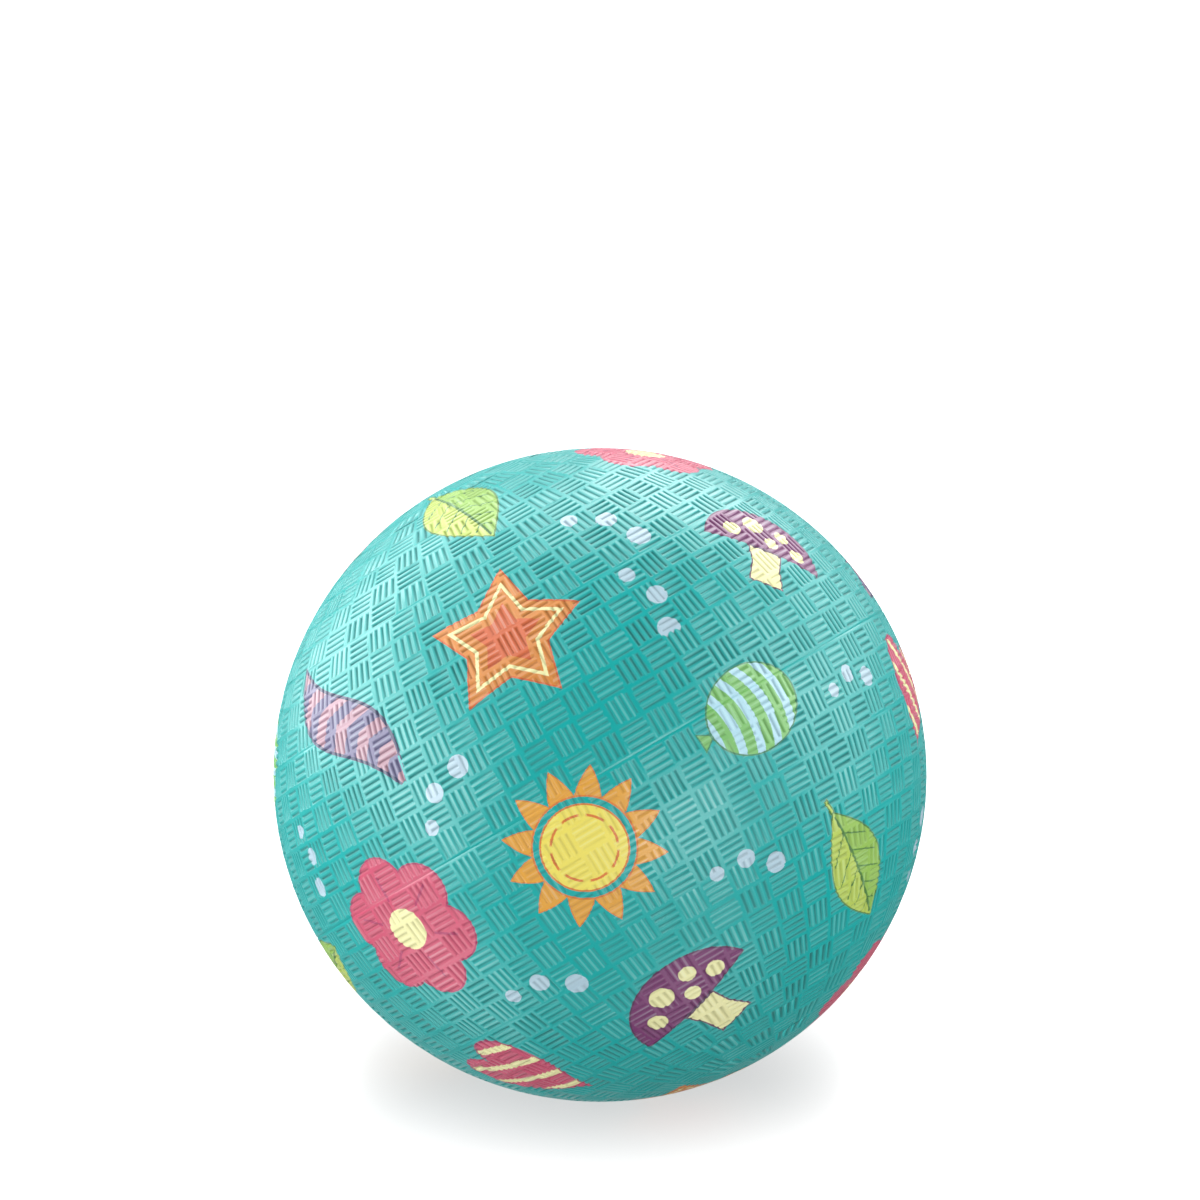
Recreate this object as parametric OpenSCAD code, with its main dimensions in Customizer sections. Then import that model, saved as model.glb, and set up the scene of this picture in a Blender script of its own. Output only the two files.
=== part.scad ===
// Rubber playground ball with a self-sealing needle valve.
// The origin is the centre of the ball, +Z is up as the ball lies,
// and the valve looks out of the +Y side.

/* [Ball wall] */
// Outside diameter over the crests of the grip texture
ball_d = 127; // [100:1:260]
// Thickness of the outer rubber cover, measured from the crests
cover_t = 1.7; // [1.2:0.1:4]
// Thickness of the air-tight inner liner
liner_t = 0.8; // [0.5:0.1:2]
// Depth of the grip texture, which the seam and the valve pad are free of
texture_h = 0.35; // [0.1:0.05:0.6]

/* [Mould seam] */
// Width of the plain line where the two mould halves met
seam_w = 0.5; // [0.4:0.1:3]
// Lean of the seam's plane towards the back, in degrees
seam_lean = 22; // [-90:1:90]
// Roll of the seam's plane, rising to the right, in degrees
seam_roll = 30; // [-90:1:90]

/* [Valve opening in the wall] */
// Diameter of the smooth round pad about the valve
pad_d = 16; // [12:0.5:30]
// Width of the bevel round the mouth of the hole in the cover
mouth_bevel = 0.6; // [0.2:0.1:1]
// Diameter of the reinforcing patch inside the wall
patch_d = 36; // [30:1:60]
// Thickness of the reinforcing patch
patch_t = 0.8; // [0.4:0.1:2]

/* [Valve seat] */
// Diameter of the neck that fills the hole through the wall
neck_d = 8; // [7.6:0.1:10]
// Depth of the neck's end below the pad
neck_sink = 0.3; // [0.1:0.1:0.8]
// Diameter of the flange that is cemented to the patch
flange_d = 26; // [20:0.5:29]
// Thickness of the flange at its rim
flange_rim_t = 0.6; // [0.3:0.1:2]
// Diameter of the boss where it leaves the flange
boss_d = 12; // [10.5:0.5:16]
// Diameter of the boss at its inner end
boss_end_d = 10; // [9:0.5:14]
// Length of the boss below the flange
boss_len = 9; // [6:0.5:14]
// Size of the bevel between the boss and the flange
boss_root = 1.5; // [0.5:0.1:2]

/* [Valve plug] */
// Diameter of the plug's head
head_d = 6.4; // [6:0.1:6.6]
// Thickness of the plug's head
head_t = 1; // [0.6:0.1:2]
// Diameter of the plug's stem
stem_d = 5; // [4:0.1:5.4]
// Diameter of the barb that locks the plug behind the boss
barb_d = 7.2; // [6.6:0.1:9]
// Diameter of the barb's tip
barb_tip_d = 3.6; // [3.2:0.1:5]
// Length of the barb
barb_len = 4.5; // [3:0.5:8]
// Diameter of the needle bore
needle_d = 1.9; // [1.5:0.1:2.4]
// Depth of the needle bore below the plug's outer end
needle_depth = 10; // [6:0.5:12]
// Width of the bevel that leads the needle in
needle_bevel = 0.5; // [0.2:0.1:0.7]
// Width of the slit that closes the bore
slit_w = 2.4; // [2:0.1:2.8]
// Opening of the slit
slit_gap = 0.2; // [0.1:0.05:0.4]

/* [Clearances] */
// Cement line between pieces that are bonded together
bond = 0.05; // [0.02:0.01:0.1]
// Gap round the neck in the holes through the wall
neck_gap = 0.1; // [0.05:0.05:0.3]
// Gap between the plug and its seat
plug_gap = 0.05; // [0.02:0.01:0.1]

/* [Hidden] */
$fn = 96;

// Extra length that carries a cut clear of the faces it passes through
over = 1;

// Radii of the layers of the wall, from the outside in
crest_r = ball_d / 2;
root_r = crest_r - texture_h;
cover_in_r = crest_r - cover_t;
liner_out_r = cover_in_r - bond;
liner_in_r = liner_out_r - liner_t;
patch_out_r = liner_in_r - bond;
patch_in_r = patch_out_r - patch_t;
seat_r = patch_in_r - bond;

// Heights along the valve's axis, from the centre of the ball
neck_end = root_r - neck_sink;
flange_under = sqrt(pow(seat_r, 2) - pow(flange_d / 2, 2)) - flange_rim_t;
boss_end = flange_under - boss_len;
head_under = neck_end - head_t;
barb_top = boss_end - plug_gap;
barb_tip = barb_top - barb_len;

// Diameters that pass one piece through another
wall_hole_d = neck_d + 2 * neck_gap;
stem_hole_d = stem_d + 2 * plug_gap;
head_hole_d = head_d + 2 * plug_gap;

// Turns the valve's own axis, +Z, to the +Y side of the ball
module on_valve_axis() {
    rotate([-90, 0, 0]) children();
}

// A round cut or bar between two heights on the valve's axis
module post(d, low, high) {
    translate([0, 0, low]) cylinder(d = d, h = high - low);
}

// The hole through the wall that the neck fills
module wall_hole() {
    post(wall_hole_d, flange_under, crest_r + over);
}

module hollow_ball(outer_r, inner_r) {
    difference() {
        sphere(r = outer_r);
        sphere(r = inner_r);
    }
}

// Plain line round the cover at the depth of the texture
module seam_line() {
    rotate([-seam_lean, 0, 0]) rotate([0, -seam_roll, 0])
        rotate_extrude()
            translate([root_r, -seam_w / 2]) square([texture_h + over, seam_w]);
}

// Smooth round pad at the depth of the texture
module valve_pad() {
    difference() {
        post(pad_d, cover_in_r, crest_r + over);
        sphere(r = root_r);
    }
}

// Bevel that widens the hole towards the pad
module hole_mouth() {
    translate([0, 0, root_r - mouth_bevel])
        cylinder(d1 = wall_hole_d, d2 = wall_hole_d + 4 * mouth_bevel, h = 2 * mouth_bevel);
}

// Outer ply, which carries the colour, the grip texture and the print
module cover() {
    color("mediumturquoise")
        difference() {
            hollow_ball(crest_r, cover_in_r);
            seam_line();
            on_valve_axis() {
                valve_pad();
                wall_hole();
                hole_mouth();
            }
        }
}

// Inner ply, which holds the air
module air_liner() {
    color("dimgray")
        difference() {
            hollow_ball(liner_out_r, liner_in_r);
            on_valve_axis() wall_hole();
        }
}

// Round doubler that spreads the valve's load over the wall
module valve_patch() {
    color("burlywood")
        on_valve_axis()
            difference() {
                intersection() {
                    hollow_ball(patch_out_r, patch_in_r);
                    post(patch_d, 0, crest_r);
                }
                wall_hole();
            }
}

// Flange with a domed outer face and a flat inner one
module seat_flange() {
    intersection() {
        sphere(r = seat_r);
        post(flange_d, flange_under, crest_r);
    }
}

// Tapered barrel that grips the plug
module seat_boss() {
    translate([0, 0, boss_end])
        cylinder(d1 = boss_end_d, d2 = boss_d, h = boss_len);
    translate([0, 0, flange_under - boss_root])
        cylinder(d1 = boss_d - boss_root, d2 = boss_d + 2 * boss_root, h = boss_root);
}

// Moulded seat: a neck through the wall, a flange and a barrel
module valve_seat() {
    color("darkslategray")
        on_valve_axis()
            difference() {
                union() {
                    seat_flange();
                    seat_boss();
                    post(neck_d, flange_under, neck_end);
                }
                post(stem_hole_d, boss_end - over, neck_end);
                post(head_hole_d, head_under - plug_gap, neck_end + over);
            }
}

// Needle bore with its lead-in, and the slit that shuts it
module needle_way() {
    bore_end = neck_end - needle_depth;
    post(needle_d, bore_end, neck_end + over);
    translate([0, 0, neck_end - needle_bevel])
        cylinder(d1 = needle_d, d2 = needle_d + 4 * needle_bevel, h = 2 * needle_bevel);
    translate([-slit_gap / 2, -slit_w / 2, barb_tip - over])
        cube([slit_gap, slit_w, bore_end - barb_tip + over]);
}

// Self-sealing plug: head, stem and the barb that locks it in the seat
module valve_plug() {
    color("slategray")
        on_valve_axis()
            difference() {
                union() {
                    post(head_d, head_under, neck_end);
                    post(stem_d, barb_top, head_under);
                    translate([0, 0, barb_tip])
                        cylinder(d1 = barb_tip_d, d2 = barb_d, h = barb_len);
                }
                needle_way();
            }
}

cover();
air_liner();
valve_patch();
valve_seat();
valve_plug();
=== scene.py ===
"""Looks of the rubber playground ball: woven grip texture, printed cover, valve, studio."""
import math
import random
import bmesh
import bpy
import numpy as np
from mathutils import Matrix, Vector, noise
from mathutils.geometry import delaunay_2d_cdt


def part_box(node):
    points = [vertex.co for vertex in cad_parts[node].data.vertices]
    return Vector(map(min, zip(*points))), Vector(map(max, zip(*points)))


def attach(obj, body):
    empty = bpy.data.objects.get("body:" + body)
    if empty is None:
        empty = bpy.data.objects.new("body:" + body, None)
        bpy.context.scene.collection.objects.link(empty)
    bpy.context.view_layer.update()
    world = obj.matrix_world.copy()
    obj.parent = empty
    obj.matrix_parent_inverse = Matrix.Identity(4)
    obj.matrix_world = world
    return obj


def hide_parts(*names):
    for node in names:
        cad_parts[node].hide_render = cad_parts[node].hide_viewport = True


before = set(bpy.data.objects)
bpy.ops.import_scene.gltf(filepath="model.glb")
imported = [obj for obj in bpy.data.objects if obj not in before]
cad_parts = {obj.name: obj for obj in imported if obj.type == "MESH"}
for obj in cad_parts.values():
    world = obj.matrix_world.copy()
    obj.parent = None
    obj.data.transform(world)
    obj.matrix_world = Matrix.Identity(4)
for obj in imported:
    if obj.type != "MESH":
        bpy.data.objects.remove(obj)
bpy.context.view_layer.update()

MM = 0.001

# Ball wall, in millimetres
CREST_R = -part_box("cover")[0].z / MM
TEXTURE_H = 0.35
COVER_T = 1.7
ROOT_R = CREST_R - TEXTURE_H
INNER_R = CREST_R - COVER_T

# Camera: the frame, the ball's radius and its drop below the middle in pixels, and the distance in metres
FRAME_PX = 1200
BALL_PX = 326.7
BALL_DROP_PX = 174.2
CAMERA_FAR = 1.1
CAMERA_LIFT = math.radians(22)
SENSOR = 36

# Light: width and place of the soft boxes in metres, and watts
BOX_W = 0.8
SOFT_BOXES = {
    "left_back_box": ((-1.07, 0.62, 0.22), 10),
    "top_left_back_box": ((-0.72, 0.72, 0.72), 7.7),
    "top_left_box": ((-0.63, -0.2, 1.06), 5.4),
    "top_back_box": ((0, 0.63, 1.08), 7.8),
    "back_box": ((0.35, 0.96, 0.72), 9.5),
    "right_back_box": ((0.9, 0.67, 0.47), 4.5),
    "top_right_box": ((1, -0.2, 0.72), 7.2),
    "right_box": ((1.23, 0, 0.22), 5.4),
    "left_box": ((-1.22, -0.1, 0.25), 10),
    "front_right_card": ((0.64, -1.07, 0.08), 9.4),
    "front_left_card": ((-1.05, -0.67, 0.08), 8.8),
    "low_front_card": ((0, -1.21, -0.32), 1.2),
    "table_left_card": ((-0.68, -0.35, -0.96), 4.6),
    "table_right_card": ((0.57, -0.57, -0.96), 3.2),
}
# The table glows, and from a distance on it glows more with each metre
TABLE_W = 12
TABLE_GLOW = 0.64
TABLE_NEAR = 0.8
GLOW_RISE = 0.5
# It has a strip light of its own that runs from front to back above the ball
STRIP_PLACE = (0, 0, 1.2)
STRIP_W, STRIP_L = 0.8, 5.4
STRIP_WATTS = 372

# The mould's axis leans back with the camera and rolls to the left
SEAM_LEAN = math.radians(22)
SEAM_ROLL = math.radians(30)
# The seam is a fine shallow line, in millimetres
SEAM_W = 0.5
SEAM_DEPTH = 0.12

# Weave: rows of blocks from the seam to the pole, four grooves to a block
ROW = math.radians(5)
GROOVES = 4
# Breadth of the grooves of a faint and of a bold block, as shares of their pitch
FAINT_BREADTH, BOLD_BREADTH = 0.68, 0.82
# Depth of the grooves of a faint block, as a share of a bold one's
FAINT_DEPTH = 0.7
# How far the crests of a bold block are spared the wear and the painted highlight
BOLD_SPARED_WEAR_AND_HIGHLIGHT = 0.7
# Least gap between a groove and the block's edge, and how far its ends and its middle stray, in millimetres
GROOVE_END_GAP = 0.08
END_STRAY = 0.32
MIDDLE_STRAY = 0.08
# Depth of the grooves as shares of the texture's: on the worn side, away from it, and the least
WORN_DEPTH, FULL_DEPTH, LEAST_DEPTH = 0.55, 1.0, 0.3
WORN_SIDE = Vector((0.05, -1, 0.12)).normalized()
WORN_REACH = math.radians(42)
# Deeper and shallower patches, broad and fine: share of the depth, and waves to the ball's radius
PATCHES = ((0.12, 3), (0.15, 40))
# The grooves get shallower towards the mould's poles, from a share of the axis on
POLE_FROM = 0.93
POLE_FADE = 0.6
# Half of the plain line between rows that have different numbers of blocks
ZONE_GAP = math.radians(0.1)
# Rings of a groove from its rim down: inset as a share of half its breadth, and share of its depth
GROOVE_RINGS = ((0.0, 0.0), (0.4, 0.2), (0.72, 0.78))
# Rows, pairs of blocks round the ball, and where the first lying block is, in degrees
UPPER_ZONES = ((6, 34, -1.9), (3, 26, 5.2), (3, 20, 8.0), (2, 14, 3.0), (2, 8, 0.0), (1, 4, 0.0))
LOWER_ZONES = (
    (3, 34, -1.4), (3, 32, -2.7), (4, 26, -6.0), (2, 20, 2.3), (2, 14, 3.0), (2, 8, 0.0), (1, 4, 0.0),
)
# Rings of the plain cap at a pole, as shares of what the rows leave
CAP_RINGS = (0.85, 0.4)
CAP_POINTS = 32
CHANCE = random.Random(7)

# Valve pad and the hole in the cover, in millimetres
VALVE_SIDE = Vector((0, 1, 0))
MARGIN_R = 11
PAD_R = 8
HOLE_R = 4.1
HOLE_BEVEL = 0.6
# Rings of the margin, the pad's wall and the hole's edge: distance from the axis, and height in the texture
VALVE_RINGS = (
    (MARGIN_R, 1.0), (PAD_R + 0.35, 1.0), (PAD_R + 0.1, 0.8), (PAD_R, 0.05), (PAD_R - 0.15, 0.0),
    (HOLE_R + HOLE_BEVEL + 0.15, 0.0), (HOLE_R + HOLE_BEVEL, -0.2),
)
VALVE_POINTS = 96
# Grooves are cut off just outside the margin, and left out where little of them stays
MARGIN_GAP = 0.4
WEAVE_FROM_R = MARGIN_R + MARGIN_GAP
SHORTEST_GROOVE = 1.4
TRIM_STEPS = 60

# Inner face of the cover, and how far round the hole its cells are left out
INNER_ROWS = 30
INNER_POINTS = 120
INNER_HOLE_R = HOLE_R * 1.2

# Print, in millimetres
KINDS = ("flower", "leaf", "mushroom", "sun", "star", "feather", "heart", "balloon", "dots")
TRAIL = KINDS.index("dots")
MOTIFS = 30
TRAILS = 18
MOTIF_REACH = 19
TRAIL_REACH = 10
VALVE_CLEAR = 26
OUTLINE_W = 0.3
# Turn of the whole spread of motifs, in radians
PRINT_TURN = 1.0
# Places that are tried for a trail
TRAIL_TRIES = 3000
# From motif to motif the tilt swings up to the most, and the size about the middle one, in steps of an angle
MOST_TILT, TILT_STEP, TILT_START = math.radians(70), 2.4, 0.6
MIDDLE_SIZE, SIZE_SWING, SIZE_STEP = 1.08, 0.12, 1.7

# Bake map: centres and radii of the discs of the outside, of the walls and of the inside
BAKE_CENTRES = ((0.5, 0.5), (0.915, 0.085), (0.085, 0.085))
BAKE_RADII = (0.485, 0.075, 0.075)
# Points this near to the inner face are counted as on it, in millimetres
INNER_SLACK = 0.1

# Printed rubber: cells of its mottle, of its grain and of the patches in its ink, to the millimetre
MOTTLE_CELLS, GRAIN_CELLS, INK_CELLS = 0.03, 3.0, 0.7
GRAIN_H = 0.02
# Roughness of the crests, and what the grain and the grooves add
CREST_ROUGH, GRAIN_ROUGH, GROOVE_ROUGH = 0.25, 0.1, 0.55
# Painted shade in the grooves of bare rubber and of ink, and wear and a painted highlight on the crests
# between them, as shares
GROOVE_SHADE = 0.58
GROOVE_INKED = 0.3
CREST_WEAR_AND_HIGHLIGHT = 0.12
# Waver of the ink's edges in millimetres, its thinnest cover and what the grain adds
INK_WAVER = 0.25
INK_COVER, INK_GRAIN = 0.9, 0.12
# Brightness of the patches in the main ink, and how far they show
PATCH_VALUE, PATCH_SHARE = 0.72, 0.45


def linear(red, green, blue):
    """A screen colour, 0 to 255, as linear light."""
    shares = (c / 255 for c in (red, green, blue))
    return tuple(s / 12.92 if s < 0.04045 else ((s + 0.055) / 1.055) ** 2.4 for s in shares)


BODY_DARK, BODY_LIGHT = linear(13, 154, 151), linear(21, 160, 157)
# Pale tint of the crests, for wear and a painted highlight
WEAR_AND_HIGHLIGHT_TINT = linear(215, 240, 236)
CREAM = linear(224, 220, 162)
PALE_BLUE = linear(166, 190, 204)
# Main ink, second ink and line ink of each motif
INKS = {
    "flower": (linear(198, 76, 106), CREAM, linear(164, 48, 92)),
    "leaf": (linear(178, 197, 86), linear(140, 178, 78), linear(74, 118, 52)),
    "mushroom": (linear(116, 38, 100), CREAM, linear(84, 24, 74)),
    "sun": (linear(218, 156, 56), linear(224, 209, 90), linear(205, 112, 48)),
    "star": (linear(206, 129, 52), CREAM, linear(196, 90, 42)),
    "feather": (linear(97, 88, 128), linear(158, 116, 132), linear(48, 46, 86)),
    "heart": (linear(195, 71, 104), CREAM, linear(162, 46, 90)),
    "balloon": (linear(118, 181, 96), linear(164, 204, 219), linear(57, 123, 85)),
    "dots": (PALE_BLUE, PALE_BLUE, PALE_BLUE),
}


# Mould frame

TO_VIEWER = Vector((0, -math.cos(SEAM_LEAN), math.sin(SEAM_LEAN)))
LEANT_UP = Vector((0, math.sin(SEAM_LEAN), math.cos(SEAM_LEAN)))
MOULD_AXIS = LEANT_UP * math.cos(SEAM_ROLL) - Vector((1, 0, 0)) * math.sin(SEAM_ROLL)
TO_EAST = MOULD_AXIS.cross(TO_VIEWER)


def direction(longitude, latitude):
    """Unit vector in the ball's frame for a place on the mould."""
    flat = math.cos(latitude)
    return (TO_VIEWER * (flat * math.cos(longitude)) + TO_EAST * (flat * math.sin(longitude))
            + MOULD_AXIS * math.sin(latitude))


def turn_about(axis, start):
    """A function that gives the angle of a point round an axis."""
    side = axis.cross(start).normalized()
    front = side.cross(axis)
    return lambda point: math.atan2(point.dot(side), point.dot(front))


VALVE_TURN = turn_about(VALVE_SIDE, Vector((0, 0, 1)))
MOULD_TURN = turn_about(MOULD_AXIS, TO_VIEWER)


# Cover

class Skin:
    """Points and faces of one half of the cover, in millimetres."""

    def __init__(self):
        self.points = []
        self.worn_and_highlit = []
        self.faces = []
        self.grooves = []
        self.sharp = set()

    def point(self, where):
        self.points.append(where)
        return len(self.points) - 1

    def face(self, points, groove=0.0, wear_and_highlight=0.0):
        """A face, with how far each corner lies in a groove and how much it is rubbed and given a painted
        highlight, 0 to 1.
        """
        self.faces.append(points)
        self.grooves += groove if isinstance(groove, tuple) else [groove] * len(points)
        self.worn_and_highlit += [wear_and_highlight] * len(points)

    def ring(self, latitude, count, radius, start=0.0):
        """A ring of points round the mould's axis."""
        step = 2 * math.pi / count
        return [self.point(direction(start + step * i, latitude) * radius) for i in range(count)]

    def valve_ring(self, distance, radius):
        """A ring of points round the valve's axis."""
        along = VALVE_SIDE * math.sqrt(radius ** 2 - distance ** 2)
        up = Vector((0, 0, 1))
        side = VALVE_SIDE.cross(up)
        step = 2 * math.pi / VALVE_POINTS
        return [self.point(along + (side * math.sin(step * i) + up * math.cos(step * i)) * distance)
                for i in range(VALVE_POINTS)]

    def crease(self, loop):
        """Keeps the shading crisp along a closed loop of points."""
        self.sharp.update(frozenset(pair) for pair in zip(loop, loop[1:] + loop[:1]))

    def band(self, low, high, low_groove=0.0, high_groove=0.0):
        """Quads between two rings of equal count."""
        grooves = (low_groove, low_groove, high_groove, high_groove)
        for i in range(len(low)):
            j = (i + 1) % len(low)
            self.face((low[i], low[j], high[j], high[i]), grooves)

    def fan(self, loop, tip):
        """Triangles from a closed loop to a point."""
        for i in range(len(loop)):
            self.face((loop[i], loop[(i + 1) % len(loop)], tip))

    def bridge(self, first, second, turn):
        """Triangles between two closed loops round one axis, whatever their counts."""
        loops = []
        for loop in (first, second):
            angles = [turn(self.points[p]) for p in loop]
            if sum(((b - a + math.pi) % (2 * math.pi)) - math.pi for a, b in zip(angles, angles[1:])) < 0:
                loop, angles = loop[::-1], angles[::-1]
            at = angles.index(min(angles))
            loops.append((loop[at:] + loop[:at], angles[at:] + angles[:at]))
        (a, turn_a), (b, turn_b) = loops

        def next_turn(turns, i):
            i += 1
            return turns[i % len(turns)] + 2 * math.pi * (i // len(turns))

        i = j = 0
        while i < len(a) or j < len(b):
            go_a = j == len(b) or (i < len(a) and next_turn(turn_a, i) <= next_turn(turn_b, j))
            here_a, here_b = a[i % len(a)], b[j % len(b)]
            if go_a:
                i += 1
                self.face((here_a, a[i % len(a)], here_b))
            else:
                j += 1
                self.face((here_a, b[j % len(b)], here_b))

    def fill(self, loop, holes):
        """Triangles between a closed loop about the valve and the closed loops inside it."""
        used, edges = [], []
        for one in (loop, *holes):
            edges += [(len(used) + i, len(used) + (i + 1) % len(one)) for i in range(len(one))]
            used += one
        flat = [Vector((self.points[p].x, self.points[p].z)) for p in used]
        inside_only, nearness = 1, 1e-5
        _, _, faces, sources, _, _ = delaunay_2d_cdt(flat, edges, [], inside_only, nearness)
        hole_of = {p: k for k, hole in enumerate(holes) for p in hole}
        for face in faces:
            corners = tuple(used[sources[corner][0]] for corner in face)
            met = {hole_of.get(p) for p in corners}
            # the holes are convex, so a triangle with all its corners on one lies in it
            if len(met) > 1 or None in met:
                self.face(corners)

    def outline(self, cells):
        """The closed loop of points round a patch of left-out cells."""
        edges = {(c[i], c[(i + 1) % 4]) for c in cells for i in range(4)}
        after = {a: b for a, b in edges if (b, a) not in edges}
        start = min(after)
        loop = [start]
        while after[loop[-1]] != start:
            loop.append(after[loop[-1]])
        return loop

    def near_valve(self, cell, distance):
        """True if a cell comes within a distance of the valve's axis."""
        corners = [self.points[p] for p in cell]
        spots = corners + [(corners[i] + corners[(i + 1) % 4]) / 2 for i in range(4)]
        return any(s.dot(VALVE_SIDE) > 0 and s.cross(VALVE_SIDE).length < distance for s in spots)


def groove_depth(middle):
    """Depth of the grooves of a block, as a share of the texture's."""
    away = min(1, middle.angle(WORN_SIDE) / WORN_REACH)
    patchy = sum(depth * noise.noise(middle * waves) for depth, waves in PATCHES)
    share = min(1, max(LEAST_DEPTH, WORN_DEPTH + (FULL_DEPTH - WORN_DEPTH) * away * away + patchy))
    near_pole = max(0, abs(middle.dot(MOULD_AXIS)) - POLE_FROM) / (1 - POLE_FROM)
    return share * (1 - near_pole * POLE_FADE)


class Block:
    """One block of the weave, with places on it in millimetres along and across its grooves."""

    def __init__(self, skin, west, east, low, high, lying):
        self.skin = skin
        self.west, self.east = west, east
        self.low, self.high = low, high
        self.lying = lying
        wide = (east - west) * math.cos((low + high) / 2) * CREST_R
        tall = abs(high - low) * CREST_R
        self.length, self.breadth = (wide, tall) if lying else (tall, wide)
        bold = CHANCE.random()
        self.depth = groove_depth(direction((west + east) / 2, (low + high) / 2))
        self.depth *= FAINT_DEPTH + (1 - FAINT_DEPTH) * bold
        self.wear_and_highlight = 1 - bold * BOLD_SPARED_WEAR_AND_HIGHLIGHT
        self.pitch = self.breadth / GROOVES
        self.half = self.pitch * (FAINT_BREADTH + (BOLD_BREADTH - FAINT_BREADTH) * bold) / 2
        self.lines = [self.line(i) for i in range(GROOVES)]

    def line(self, i):
        """Middle, near end and far end of a groove, each a little astray."""
        near = GROOVE_END_GAP + END_STRAY * CHANCE.random()
        far = self.length - GROOVE_END_GAP - END_STRAY * CHANCE.random()
        return self.pitch * (i + 0.5) + MIDDLE_STRAY * CHANCE.uniform(-1, 1), near, far

    def place(self, along, across):
        """Unit vector to a place on the block."""
        s, t = along / self.length, across / self.breadth
        if not self.lying:
            s, t = t, s
        return direction(self.west + (self.east - self.west) * s, self.low + (self.high - self.low) * t)

    def spot(self, along, across, sink):
        """A point of the skin, at a share of the grooves' depth."""
        return self.skin.point(self.place(along, across) * (CREST_R - sink * self.depth * TEXTURE_H))

    def groove(self, centre, near, far):
        """One groove between two places along the block. Returns the loop of its rim."""
        rings = []
        for inset, sink in GROOVE_RINGS:
            inset *= self.half
            left, right = centre - self.half + inset, centre + self.half - inset
            ends = ((near + inset, left), (far - inset, left), (far - inset, right), (near + inset, right))
            rings.append([self.spot(s, t, sink) for s, t in ends])
        sinks = [sink * self.depth for _, sink in GROOVE_RINGS]
        for k in range(len(rings) - 1):
            self.skin.band(rings[k], rings[k + 1], sinks[k], sinks[k + 1])
        a, b, c, d = rings[-1]
        start, end = self.spot(near + self.half, centre, 1.0), self.spot(far - self.half, centre, 1.0)
        low = sinks[-1]
        for face in ((a, b, end, start), (c, d, start, end)):
            self.skin.face(face, (low, low, self.depth, self.depth))
        for face in ((b, c, end), (d, a, start)):
            self.skin.face(face, (low, low, self.depth))
        return rings[0]

    def whole(self, cell):
        """All the grooves, in the plain ground between the four corners of a cell."""
        rims = [self.groove(*line) for line in self.lines]
        south_west, south_east, north_east, north_west = cell
        corners = cell if self.lying else (south_west, north_west, north_east, south_east)
        first, last = rims[0], rims[-1]
        self.skin.face((corners[0], corners[1], first[1], first[0]))
        self.skin.face((last[3], last[2], corners[2], corners[3]))
        for one, other in zip(rims, rims[1:]):
            # The crest between two grooves gets wear and a painted highlight
            self.skin.face((one[3], one[2], other[1], other[0]), wear_and_highlight=self.wear_and_highlight)
        self.skin.face((corners[3], corners[0], *(rim[k] for rim in rims for k in (0, 3))))
        self.skin.face((corners[1], corners[2], *(rim[k] for rim in reversed(rims) for k in (2, 1))))

    def trimmed(self):
        """The grooves as far as they lie outside the valve's margin. Returns the loops of their rims."""
        rims = []
        for centre, near, far in self.lines:
            runs = [[]]
            for along in np.linspace(near, far, TRIM_STEPS):
                sides = [self.place(along, centre + edge) for edge in (-self.half, self.half)]
                if min(side.cross(VALVE_SIDE).length for side in sides) * CREST_R > WEAVE_FROM_R:
                    runs[-1].append(along)
                elif runs[-1]:
                    runs.append([])
            longest = max(runs, key=len)
            if longest and longest[-1] - longest[0] > SHORTEST_GROOVE:
                rims.append(self.groove(centre, longest[0], longest[-1]))
        return rims


def weave(skin, zones, side):
    """All the rows of blocks of one half, from the seam to the pole.

    Returns the seam's ring, the cells about the valve and the rims of the grooves in them.
    """
    seam = SEAM_W / 2 / CREST_R
    count = 2 * zones[0][1]
    start = math.radians(zones[0][2]) - math.pi / count
    rim = skin.ring(0, count, CREST_R - SEAM_DEPTH, start)
    skin.crease(rim)
    below = rim
    row_from = 0
    left_out, trimmed = [], []
    for rows, pairs, first_lying in zones:
        count = 2 * pairs
        step = 2 * math.pi / count
        start = math.radians(first_lying) - step / 2
        low = seam if row_from == 0 else row_from * ROW + ZONE_GAP
        high = (row_from + rows) * ROW - ZONE_GAP
        latitudes = [side * (low + (high - low) * k / rows) for k in range(rows + 1)]
        rings = [skin.ring(latitude, count, CREST_R, start) for latitude in latitudes]
        skin.bridge(below, rings[0], MOULD_TURN)
        for r in range(rows):
            for j in range(count):
                k = (j + 1) % count
                cell = (rings[r][j], rings[r][k], rings[r + 1][k], rings[r + 1][j])
                west = start + step * j
                block = Block(skin, west, west + step, latitudes[r], latitudes[r + 1], (r + j) % 2 == 0)
                if skin.near_valve(cell, WEAVE_FROM_R):
                    left_out.append(cell)
                    trimmed += block.trimmed()
                else:
                    block.whole(cell)
        below = rings[-1]
        row_from += rows
    pole_gap = math.pi / 2 - row_from * ROW
    for share in CAP_RINGS:
        cap = skin.ring(side * (math.pi / 2 - pole_gap * share), CAP_POINTS, CREST_R)
        skin.bridge(below, cap, MOULD_TURN)
        below = cap
    pole = skin.point(direction(0, side * math.pi / 2) * CREST_R)
    skin.fan(below, pole)
    return rim, left_out, trimmed


def valve_hole(skin, left_out, trimmed):
    """Plain margin, smooth pad and bevelled hole about the valve. Returns the hole's inner ring."""
    rings = [skin.valve_ring(distance, ROOT_R + TEXTURE_H * rise) for distance, rise in VALVE_RINGS]
    rings.append(skin.valve_ring(HOLE_R, ROOT_R - HOLE_BEVEL))
    rings.append(skin.valve_ring(HOLE_R, INNER_R))
    skin.fill(skin.outline(left_out), [rings[0], *trimmed])
    for outer, inner in zip(rings, rings[1:]):
        skin.band(outer, inner)
    return rings[-1]


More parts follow.
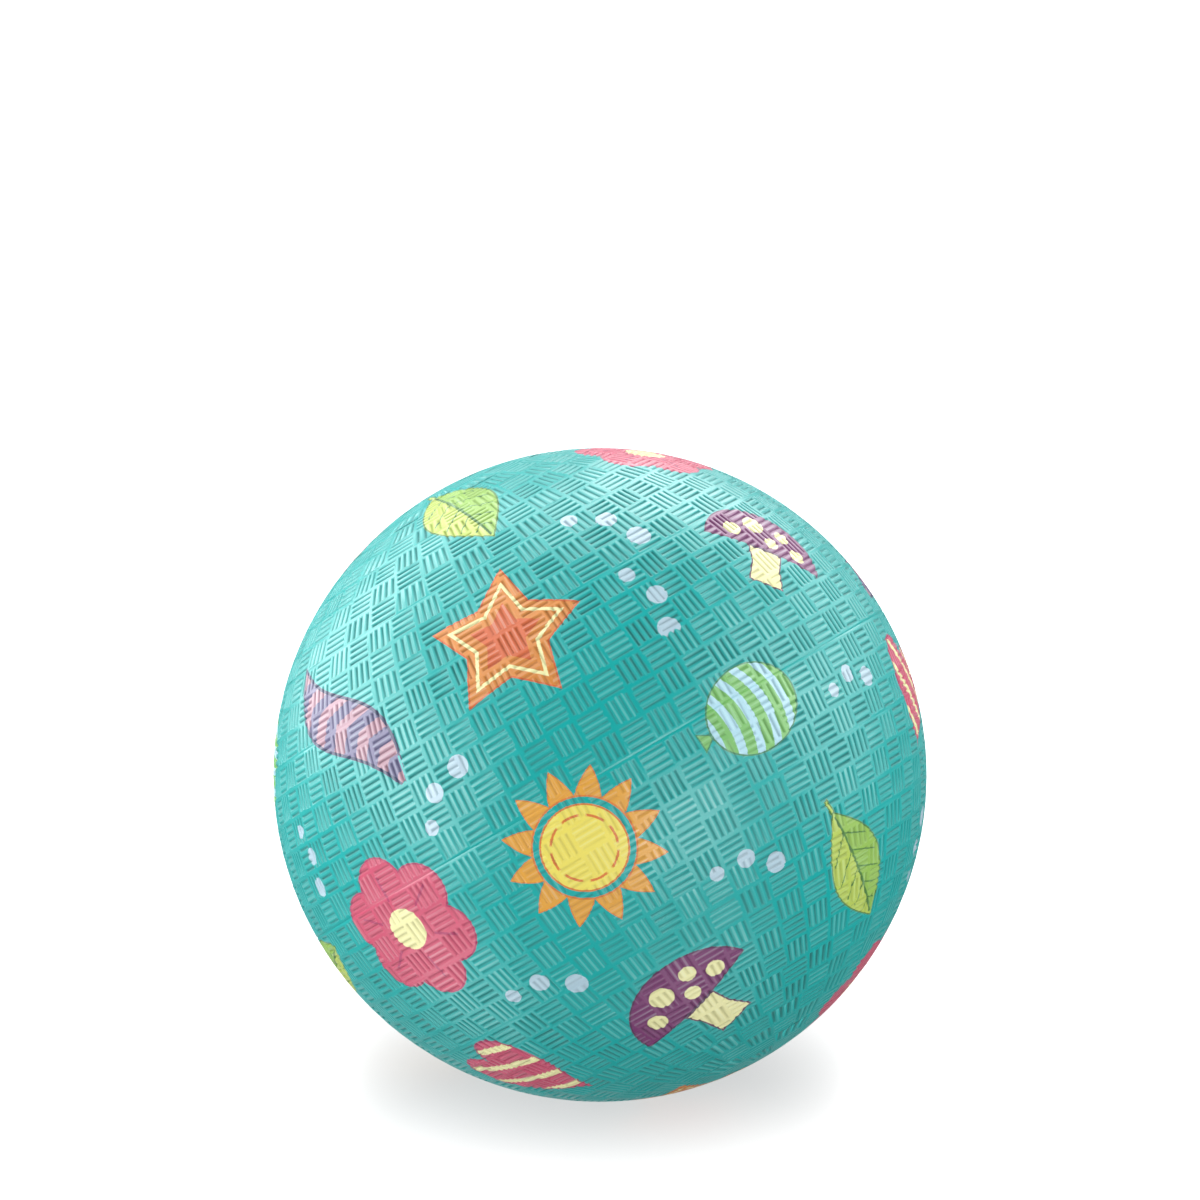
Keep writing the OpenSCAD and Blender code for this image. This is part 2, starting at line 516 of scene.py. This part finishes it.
def inner_face(skin, rim, side, hole):
    """The plain inside of the half, joined to its rim and to the valve's hole."""
    step = math.pi / 2 / INNER_ROWS
    rings = [skin.ring(side * step * r, INNER_POINTS, INNER_R) for r in range(INNER_ROWS)]
    skin.bridge(rim, rings[0], MOULD_TURN)
    left_out = []
    for low, high in zip(rings, rings[1:]):
        for i in range(INNER_POINTS):
            j = (i + 1) % INNER_POINTS
            cell = (low[i], low[j], high[j], high[i])
            if hole and skin.near_valve(cell, INNER_HOLE_R):
                left_out.append(cell)
            else:
                skin.face(cell)
    if hole:
        skin.bridge(skin.outline(left_out), hole, VALVE_TURN)
    pole = skin.point(direction(0, side * math.pi / 2) * INNER_R)
    skin.fan(rings[-1], pole)


def cover_half(name, zones, side, has_valve):
    """One half of the cover as a closed shell, from the mould's seam to its pole."""
    skin = Skin()
    rim, left_out, trimmed = weave(skin, zones, side)
    hole = valve_hole(skin, left_out, trimmed) if has_valve else None
    inner_face(skin, rim, side, hole)
    mesh = bpy.data.meshes.new(name)
    mesh.from_pydata([p * MM for p in skin.points], [], skin.faces)
    # Wear with a painted highlight on the crests, and how deep in a groove each corner lies, which also sets
    # the painted shade
    mesh.attributes.new("crest_wear_and_highlight", "FLOAT", "CORNER").data.foreach_set("value", skin.worn_and_highlit)
    mesh.attributes.new("groove", "FLOAT", "CORNER").data.foreach_set("value", skin.grooves)
    work = bmesh.new()
    work.from_mesh(mesh)
    bmesh.ops.recalc_face_normals(work, faces=work.faces)
    for edge in work.edges:
        edge.smooth = frozenset(v.index for v in edge.verts) not in skin.sharp
    for face in work.faces:
        face.smooth = True
    work.to_mesh(mesh)
    work.free()
    piece = bpy.data.objects.new(name, mesh)
    bpy.context.collection.objects.link(piece)
    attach(piece, "root")
    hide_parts("cover")
    return piece


# Print

def spread(count, shift):
    """Even spread of unit vectors over the ball, on a golden spiral."""
    golden = math.pi * (3 - math.sqrt(5))
    i = np.arange(count)
    z = 1 - (2 * i + 1) / count
    flat = np.sqrt(1 - z * z)
    turn = golden * i + shift
    return np.stack([flat * np.cos(turn), flat * np.sin(turn), z], axis=1)


def clear_of(spots_at, centres, kinds):
    """Distance in millimetres from each spot to the edge of each motif's own round patch."""
    reach = np.where(np.array(kinds) == TRAIL, TRAIL_REACH, MOTIF_REACH)
    return CREST_R * np.arccos(np.clip(np.array(spots_at) @ np.array(centres).T, -1, 1)) - reach


def print_layout():
    """Centres, tilts, sizes and kinds of the motifs, with trails of dots in the widest gaps."""
    off_valve = math.cos(VALVE_CLEAR / CREST_R)
    centres = [c for c in spread(MOTIFS, PRINT_TURN) if c @ np.array(VALVE_SIDE) < off_valve]
    kinds = []
    for centre in centres:
        # the kind whose nearest like is farthest away, or that isn't there yet
        likes = [
            max([centre @ c for c, k in zip(centres, kinds) if k == kind], default=-math.inf)
            for kind in range(TRAIL)
        ]
        kinds.append(int(np.argmin(likes)))
    free = [s for s in spread(TRAIL_TRIES, 0.0) if s @ np.array(VALVE_SIDE) < off_valve]
    for _ in range(TRAILS):
        gap = np.min(clear_of(free, centres, kinds), axis=1)
        centres.append(free[int(np.argmax(gap))])
        kinds.append(TRAIL)
    tilts = [MOST_TILT * math.sin(TILT_STEP * i + TILT_START) for i in range(len(centres))]
    sizes = [MIDDLE_SIZE + SIZE_SWING * math.sin(SIZE_STEP * i) for i in range(len(centres))]
    return np.array(centres), np.array(tilts), np.array(sizes), kinds


def mesh_corners(mesh):
    """Points of a mesh, and the point and the face of each face corner."""
    points = np.zeros(len(mesh.vertices) * 3)
    mesh.vertices.foreach_get("co", points)
    corner_point = np.zeros(len(mesh.loops), int)
    mesh.loops.foreach_get("vertex_index", corner_point)
    totals = np.zeros(len(mesh.polygons), int)
    mesh.polygons.foreach_get("loop_total", totals)
    return points.reshape(-1, 3), corner_point, np.repeat(np.arange(len(totals)), totals)


def stamp_print(piece, layout):
    """Gives each face its nearest motif, as the place on the motif in millimetres, and its inks."""
    centres, tilts, sizes, kinds = layout
    mesh = piece.data
    points, corner_point, corner_face = mesh_corners(mesh)
    points /= np.linalg.norm(points, axis=1, keepdims=True)
    corners = points[corner_point]
    middles = np.zeros((len(mesh.polygons), 3))
    np.add.at(middles, corner_face, corners)
    middles /= np.linalg.norm(middles, axis=1, keepdims=True)
    motif = np.argmin(clear_of(middles, centres, kinds), axis=1)[corner_face]
    upright = np.array([0.0, 0.0, 1.0])
    across = np.cross(upright, centres)
    across /= np.linalg.norm(across, axis=1, keepdims=True)
    along = np.cross(centres, across)
    turn = tilts[:, None]
    right = across * np.cos(turn) + along * np.sin(turn)
    up = along * np.cos(turn) - across * np.sin(turn)
    reach = np.arccos(np.clip(np.sum(corners * centres[motif], axis=1), -1, 1))
    grow = CREST_R * reach / np.maximum(np.sin(reach), 1e-6) / sizes[motif]
    place = np.stack([
        grow * np.sum(corners * right[motif], axis=1),
        grow * np.sum(corners * up[motif], axis=1),
        np.array(kinds, float)[motif],
    ], axis=1)
    mesh.attributes.new("print_place", "FLOAT_VECTOR", "CORNER").data.foreach_set("vector", place.ravel())
    for i, name in enumerate(("print_main", "print_second", "print_line")):
        inks = np.array([(*INKS[KINDS[k]][i], 1.0) for k in kinds])
        mesh.attributes.new(name, "FLOAT_COLOR", "CORNER").data.foreach_set("color", inks[motif].ravel())


def bake_map(piece, side):
    """An even map for baking: one disc for the outside, and small ones for the walls and the inside."""
    mesh = piece.data
    points, corner_point, corner_face = mesh_corners(mesh)
    sizes = np.linalg.norm(points, axis=1)
    inside = (sizes < (INNER_R + INNER_SLACK) * MM)[corner_point]
    all_in = np.ones(len(mesh.polygons), bool)
    np.logical_and.at(all_in, corner_face, inside)
    any_in = np.zeros(len(mesh.polygons), bool)
    np.logical_or.at(any_in, corner_face, inside)
    disc = (all_in * 1 + any_in * 1)[corner_face]
    centre = np.array(BAKE_CENTRES)[disc]
    size = np.array(BAKE_RADII)[disc]
    units = (points / sizes[:, None])[corner_point]
    # equal-area distance from the pole, 1 at the seam
    far = np.sqrt(np.maximum(0, 1 - units @ (np.array(MOULD_AXIS) * side)))
    flat = np.stack([units @ np.array(TO_VIEWER), units @ np.array(TO_EAST)], axis=1)
    flat /= np.maximum(np.linalg.norm(flat, axis=1, keepdims=True), 1e-9)
    places = centre + flat * (far * size)[:, None]
    mesh.uv_layers.new(name="OFBake").uv.foreach_set("vector", places.ravel())


# Materials

class Wire:
    """A number on a wire of a node tree, with the usual arithmetic."""

    def __init__(self, socket):
        self.socket = socket
        self.tree = socket.id_data

    def math(self, operation, *others):
        node = self.tree.nodes.new("ShaderNodeMath")
        node.operation = operation
        for socket, value in zip(node.inputs, (self, *others)):
            if isinstance(value, Wire):
                self.tree.links.new(value.socket, socket)
            else:
                socket.default_value = value
        return Wire(node.outputs[0])

    def scaled(self, by, plus):
        return self.math("MULTIPLY_ADD", by, plus)

    def __add__(self, other):
        return self.math("ADD", other)

    def __sub__(self, other):
        return self.math("SUBTRACT", other)

    def __rsub__(self, other):
        return self.scaled(-1.0, other)

    def __mul__(self, other):
        return self.math("MULTIPLY", other)

    def __truediv__(self, other):
        return self.math("DIVIDE", other)

    def __abs__(self):
        return self.math("ABSOLUTE")

    def __neg__(self):
        return self.math("MULTIPLY", -1.0)

    def cos(self):
        return self.math("COSINE")

    def sin(self):
        return self.math("SINE")

    def root(self):
        return self.math("SQRT")

    def fold(self, half):
        """Zero at each multiple of twice the half, and rising to the half between."""
        return self.math("PINGPONG", half)

    def least(self, other):
        return self.math("MINIMUM", other)

    def most(self, other):
        return self.math("MAXIMUM", other)


def length(x, y):
    return (x * x + y * y).root()


def inked(distance, soft=0.07):
    """1 where a distance in millimetres is below zero, with a slightly soft edge."""
    mask = distance.scaled(-1 / soft, 0.5)
    mask.socket.node.use_clamp = True
    return mask


def spots(u, v, places):
    """Distance to the nearest of a few round spots, each given as x, y and radius."""
    nearest = None
    for x, y, radius in places:
        one = length(u - x, v - y) - radius
        nearest = one if nearest is None else nearest.least(one)
    return nearest


# Each motif gives its outline, its second ink and its lines as distances in millimetres

def flower(u, v, r, turn):
    petals, petal_far, petal_r = 6, 7.6, 5.2
    core_r, eye_r = 4.0, 3.6
    stroke_far, stroke_half_l, stroke_half_w = 7.4, 2.2, 0.22
    f = turn.fold(math.pi / petals)
    x, y = r * f.cos(), r * f.sin()
    edge = (length(x - petal_far, y) - petal_r).least(r - core_r)
    strokes = (y - stroke_half_w).most(abs(x - stroke_far) - stroke_half_l)
    return edge, r - eye_r, strokes


def leaf(u, v, r, turn):
    half_l, half_w = 13.0, 6.2
    stem_l, stem_half_w = 3.0, 0.5
    vein_slant, vein_gap, vein_half_w, vein_inset = 0.9, 2.0, 0.17, 1.0
    midrib_half_w, midrib_inset = 0.24, 1.2
    blade = (abs(v) - (u * (math.pi / 2 / half_l)).cos() * half_w).most(abs(u) - half_l)
    stem_far = half_l + stem_l / 2 - 0.5
    stem = (abs(v) - stem_half_w).most(abs(u + stem_far) - stem_l / 2)
    veins = ((u - abs(v) * vein_slant).fold(vein_gap) - vein_half_w).most(blade + vein_inset)
    midrib = (abs(v) - midrib_half_w).most(abs(u) - (half_l - midrib_inset))
    return blade.least(stem), (0.0 - v).most(blade), veins.least(midrib)


def mushroom(u, v, r, turn):
    cap_half_w, cap_h, cap_drop = 12.0, 11.0, 1.0
    stem_half_w, stem_half_l, stem_drop = 3.0, 4.5, 5.5
    waist_drop, flare = 5.0, 0.12
    gill_drop, gill_half_w, gill_half_l = 1.1, 0.22, 11.2
    cap = ((length(u / cap_half_w, (v + cap_drop) / cap_h) - 1.0) * cap_h).most(-cap_drop - v)
    stem = (abs(u) - stem_half_w - abs(v + waist_drop) * flare).most(abs(v + stem_drop) - stem_half_l)
    cap_dots = spots(u, v, (
        (-6.4, 2.4, 1.7), (-1.8, 5.6, 2.1), (4.2, 5.2, 1.5), (7.2, 1.6, 1.6), (1.6, 1.8, 1.4),
    ))
    gills = (abs(v + gill_drop) - gill_half_w).most(abs(u) - gill_half_l)
    return cap.least(stem), cap_dots.least(stem.most(v + cap_drop)), gills


def sun(u, v, r, turn):
    rays, ray_tip, ray_root, ray_taper = 12, 13.0, 8.0, 18.0
    dashes, dash_far, dash_half_w, dash_half_turn = 8, 5.2, 0.2, 0.28
    disc_r = 7.0
    ring = (r - ray_tip + turn.fold(math.pi / rays) * ray_taper).most(ray_root - r)
    disc = r - disc_r
    dashed = (abs(r - dash_far) - dash_half_w).most(turn.fold(math.pi / dashes) - dash_half_turn)
    return ring.least(disc), disc, dashed


def star(u, v, r, turn):
    tip, notch, half_point = 13.6, 7.4, math.pi / 5
    band_from, band_to, heart_inset = 1.5, 2.1, 3.6
    inner_x, inner_y = notch * math.cos(half_point), notch * math.sin(half_point)
    edge = math.hypot(tip - inner_x, inner_y)
    f = (turn - math.pi / 2).fold(half_point)
    body = (r * f.cos() - tip) * (inner_y / edge) + r * f.sin() * ((tip - inner_x) / edge)
    return body, (body + band_from).most(-band_to - body), body + heart_inset


def feather(u, v, r, turn):
    half_l, half_w = 20.0, 5.4
    bend_rate, bend_h = 0.16, 2.4
    band_slant, band_gap, band_half_w = 0.5, 2.9, 1.4
    edge_half_w = 0.3
    bent = v - (u * bend_rate).sin() * bend_h
    blade = (abs(bent) - (u * (math.pi / 2 / half_l)).cos() * half_w).most(abs(u) - half_l)
    bands = ((u - abs(bent) * band_slant).fold(band_gap) - band_half_w).most(blade)
    return blade, bands, abs(blade + edge_half_w) - edge_half_w


def heart(u, v, r, turn):
    size, lift, lobe, narrow = 9.6, 0.1, 0.78, 0.8
    stripe_x, stripe_y, stripe_gap, stripe_half_w = 0.5, 0.87, 2.7, 0.75
    edge_inset, edge_half_w = 0.2, 0.18
    x, y = abs(u / size), v / size + lift
    body = (length(x, y - x.root() * lobe) - 1.0) * (size * narrow)
    stripes = ((u * stripe_x + v * stripe_y).fold(stripe_gap) - stripe_half_w).most(body)
    return body, stripes, abs(body + edge_inset) - edge_half_w


def balloon(u, v, r, turn):
    half_w, half_h, lift = 8.4, 10.4, 1.4
    knot_top, knot_slope, knot_half_w, knot_drop, knot_half_h = 9.4, 0.6, 0.8, 10.2, 1.3
    stripe_bow, stripe_gap, stripe_half_w = 0.03, 2.1, 0.95
    tie_drop, tie_half_w, tie_half_l = 8.9, 0.25, 1.4
    body = (length(u / half_w, (v - lift) / half_h) - 1.0) * half_w
    knot = (abs(u) + (v + knot_top) * knot_slope - knot_half_w).most(abs(v + knot_drop) - knot_half_h)
    stripes = ((v + u * u * stripe_bow).fold(stripe_gap) - stripe_half_w).most(body)
    tie = (abs(v + tie_drop) - tie_half_w).most(abs(u) - tie_half_l)
    return body.least(knot), stripes, tie


def dots(u, v, r, turn):
    trail = spots(u, v, ((-6.0, -1.4, 1.4), (-0.4, 0.9, 1.75), (5.8, -0.6, 2.0)))
    return trail, trail, trail


MOTIF_SHAPES = {
    shape.__name__: shape
    for shape in (flower, leaf, mushroom, sun, star, feather, heart, balloon, dots)
}


class Nodes:
    """A new material's node tree, with short ways to add to it."""

    def __init__(self, name):
        self.material = bpy.data.materials.new(name)
        self.material.use_nodes = True
        self.tree = self.material.node_tree
        self.shader = self.tree.nodes["Principled BSDF"]

    def add(self, kind, **values):
        node = self.tree.nodes.new(kind)
        for name, value in values.items():
            setattr(node, name, value)
        return node

    def link(self, output, into):
        self.tree.links.new(output, into)

    def attribute(self, name):
        return self.add("ShaderNodeAttribute", attribute_name=name)

    def place(self):
        """Place on the object, in metres."""
        return self.add("ShaderNodeTexCoord").outputs["Object"]

    def speckle(self, per_mm, detail=2.0):
        """Soft noise with so many cells to the millimetre."""
        node = self.add("ShaderNodeTexNoise")
        node.inputs["Scale"].default_value = per_mm / MM
        node.inputs["Detail"].default_value = detail
        self.link(self.place(), node.inputs["Vector"])
        return Wire(node.outputs["Fac"])

    def blend(self, share, low, high):
        """A colour between two, each a colour or a wire's socket."""
        node = self.add("ShaderNodeMix", data_type="RGBA")
        colours = [s for s in node.inputs if s.type == "RGBA"]
        for socket, value in ((node.inputs["Factor"], share), (colours[0], low), (colours[1], high)):
            if isinstance(value, Wire):
                self.link(value.socket, socket)
            elif isinstance(value, bpy.types.NodeSocket):
                self.link(value, socket)
            else:
                socket.default_value = (*value, 1.0) if isinstance(value, tuple) else value
        return next(s for s in node.outputs if s.type == "RGBA")

    def bump(self, height, millimetres):
        node = self.add("ShaderNodeBump")
        node.inputs["Strength"].default_value = 1.0
        node.inputs["Distance"].default_value = millimetres * MM
        self.link(height.socket, node.inputs["Height"])
        self.link(node.outputs["Normal"], self.shader.inputs["Normal"])

    def rough(self, wire):
        self.link(wire.socket, self.shader.inputs["Roughness"])

    def colour(self, output):
        self.link(output, self.shader.inputs["Base Color"])


def print_masks(n, grain):
    """How far each place is in a motif, in its second ink and on its lines, 0 to 1."""
    split = n.add("ShaderNodeSeparateXYZ")
    n.link(n.attribute("print_place").outputs["Vector"], split.inputs[0])
    u, v, kind = (Wire(s) for s in split.outputs)
    waver = (grain - 0.5) * INK_WAVER
    u, v = u + waver, v + waver
    r, turn = length(u, v), v.math("ARCTAN2", u)
    masks = [None, None, None]
    same_within = 0.4
    for k, name in enumerate(KINDS):
        chosen = kind.math("COMPARE", float(k), same_within)
        edge, second, lines = MOTIF_SHAPES[name](u, v, r, turn)
        if k != TRAIL:
            lines = lines.least(abs(edge + OUTLINE_W / 2) - OUTLINE_W / 2)
        inside = inked(edge) * chosen
        found = (inside, inked(second) * inside, inked(lines) * inside)
        masks = [one if old is None else old + one for old, one in zip(masks, found)]
    return masks


def printed_rubber():
    """Turquoise rubber with the print in its surface, with painted shade in the grooves and crests lightened
    by rubbing and by a painted highlight.
    """
    n = Nodes("printed_rubber")
    mottle = n.speckle(MOTTLE_CELLS)
    grain = n.speckle(GRAIN_CELLS)
    body = n.blend(mottle, BODY_DARK, BODY_LIGHT)

    in_motif, in_second, on_line = print_masks(n, grain)
    main_ink = n.attribute("print_main").outputs["Color"]
    darker = n.add("ShaderNodeHueSaturation")
    darker.inputs["Value"].default_value = PATCH_VALUE
    n.link(main_ink, darker.inputs["Color"])
    ink = n.blend(n.speckle(INK_CELLS, detail=4.0) * PATCH_SHARE, main_ink, darker.outputs["Color"])
    ink = n.blend(in_second, ink, n.attribute("print_second").outputs["Color"])
    ink = n.blend(on_line, ink, n.attribute("print_line").outputs["Color"])
    cover = in_motif * grain.scaled(INK_GRAIN, plus=INK_COVER)
    surface = n.blend(cover, body, ink)

    groove = Wire(n.attribute("groove").outputs["Fac"])
    worn_and_highlit = Wire(n.attribute("crest_wear_and_highlight").outputs["Fac"])
    # Wear and a painted highlight lighten the crests towards a pale tint
    surface = n.blend(worn_and_highlit * CREST_WEAR_AND_HIGHLIGHT, surface, WEAR_AND_HIGHLIGHT_TINT)
    # Painted shade: the grooves are darkened towards black, less under the ink
    shade = groove * (cover * (GROOVE_INKED - GROOVE_SHADE) + GROOVE_SHADE)
    n.colour(n.blend(shade, surface, (0, 0, 0)))
    n.rough(grain.scaled(GRAIN_ROUGH, plus=CREST_ROUGH) + groove * GROOVE_ROUGH)
    n.bump(grain, GRAIN_H)
    n.shader.inputs["Specular IOR Level"].default_value = 0.56
    n.shader.inputs["Sheen Weight"].default_value = 0.2
    n.shader.inputs["Sheen Roughness"].default_value = 0.35
    return n.material


def plain_rubber(name, dark, light, roughness):
    """Moulded rubber with a fine grain."""
    n = Nodes(name)
    grain = n.speckle(per_mm=2.5, detail=4.0)
    n.colour(n.blend(grain, dark, light))
    n.rough(grain.scaled(0.2, plus=roughness))
    n.bump(grain, millimetres=0.03)
    return n.material


def rubbered_cloth():
    """Plain-woven cotton with rubber pressed through it."""
    n = Nodes("rubbered_cloth")
    threads = []
    for axis in ("X", "Z"):
        wave = n.add("ShaderNodeTexWave", bands_direction=axis)
        wave.inputs["Scale"].default_value = 0.5 / MM
        n.link(n.place(), wave.inputs["Vector"])
        threads.append(Wire(wave.outputs["Fac"]))
    weave_height = threads[0].most(threads[1])
    n.colour(n.blend(weave_height, linear(120, 96, 66), linear(205, 178, 138)))
    n.rough(weave_height.scaled(-0.2, plus=0.85))
    n.bump(weave_height, millimetres=0.1)
    return n.material


# Studio

def soft_box(name, place, side, watts):
    """A square soft box that looks at the ball."""
    lamp = bpy.data.lights.new(name, "AREA")
    lamp.size = side
    lamp.energy = watts
    box = bpy.data.objects.new(name, lamp)
    box.location = place
    box.rotation_euler = (-Vector(place)).to_track_quat("-Z", "Y").to_euler()
    bpy.context.collection.objects.link(box)
    return box


def link_light(box, floor, state):
    """Lets a box light the floor alone, with INCLUDE, or all but the floor, with EXCLUDE."""
    lit = bpy.data.collections.new(box.name + "_lit")
    lit.objects.link(floor)
    lit.collection_objects[0].light_linking.link_state = state
    box.light_linking.receiver_collection = lit


def light_table():
    """White table under the ball that glows and casts no light on it. Returns the floor."""
    bpy.ops.mesh.primitive_plane_add(size=TABLE_W, location=(0, 0, -CREST_R * MM))
    floor = bpy.context.object
    floor.name = "floor"
    n = Nodes("floor_white")
    tone = n.speckle(0.002)
    n.colour(n.blend(tone, (0.17, 0.17, 0.17), (0.18, 0.18, 0.18)))
    n.shader.inputs["Roughness"].default_value = 0.9
    n.shader.inputs["Specular IOR Level"].default_value = 0.1
    n.shader.inputs["Emission Color"].default_value = (1, 1, 1, 1)
    away = n.add("ShaderNodeVectorMath", operation="LENGTH")
    n.link(n.place(), away.inputs[0])
    glow = (Wire(away.outputs["Value"]) - TABLE_NEAR).most(0.0) * GLOW_RISE + TABLE_GLOW
    n.link(glow.socket, n.shader.inputs["Emission Strength"])
    floor.data.materials.append(n.material)
    # the boxes alone light the ball, and the strip alone the table
    floor.visible_diffuse = False
    floor.visible_glossy = False
    floor.visible_shadow = False
    return floor


def pale_room():
    """White surroundings that only the camera sees."""
    world = bpy.data.worlds.new("pale_room")
    bpy.context.scene.world = world
    world.use_nodes = True
    world.node_tree.nodes["Background"].inputs["Color"].default_value = (1, 1, 1, 1)
    world.cycles_visibility.diffuse = False
    world.cycles_visibility.glossy = False


def studio():
    """White light table, pale room and soft boxes."""
    floor = light_table()
    pale_room()
    for name, (place, watts) in SOFT_BOXES.items():
        link_light(soft_box(name, place, BOX_W, watts), floor, "EXCLUDE")
    strip = soft_box("table_strip", STRIP_PLACE, STRIP_W, STRIP_WATTS)
    strip.data.shape = "RECTANGLE"
    strip.data.size_y = STRIP_L
    strip.rotation_euler = (0, 0, 0)
    link_light(strip, floor, "INCLUDE")
    bpy.context.scene.view_settings.view_transform = "Standard"


def camera():
    """Long lens at the photo's angle, with the ball low in the frame."""
    focal_px = BALL_PX / math.tan(math.asin(CREST_R * MM / CAMERA_FAR))
    data = bpy.data.cameras.new("camera")
    data.sensor_width = SENSOR
    data.lens = SENSOR * focal_px / FRAME_PX
    data.clip_end = 50
    cam = bpy.data.objects.new("camera", data)
    cam.location = Vector((0, -math.cos(CAMERA_LIFT), math.sin(CAMERA_LIFT))) * CAMERA_FAR
    cam.rotation_euler = (math.pi / 2 - CAMERA_LIFT + math.atan(BALL_DROP_PX / focal_px), 0, 0)
    bpy.context.collection.objects.link(cam)
    bpy.context.scene.camera = cam


def dress_node(node, material):
    """Gives a carried-over CAD node its material."""
    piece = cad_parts[node]
    piece.data.materials.clear()
    piece.data.materials.append(material)


print_plan = print_layout()
cover_material = printed_rubber()
halves = (("cover_upper", UPPER_ZONES, 1, True), ("cover_lower", LOWER_ZONES, -1, False))
for half_name, half_zones, half_side, with_valve in halves:
    half_piece = cover_half(half_name, half_zones, half_side, with_valve)
    stamp_print(half_piece, print_plan)
    bake_map(half_piece, half_side)
    half_piece.data.materials.append(cover_material)

dress_node("air_liner", plain_rubber("butyl", linear(22, 22, 24), linear(40, 40, 42), 0.6))
dress_node("valve_patch", rubbered_cloth())
dress_node("valve_seat", plain_rubber("seat_rubber", linear(26, 27, 29), linear(44, 45, 48), 0.4))
dress_node("valve_plug", plain_rubber("plug_rubber", linear(96, 100, 104), linear(120, 124, 128), 0.5))
studio()
camera()
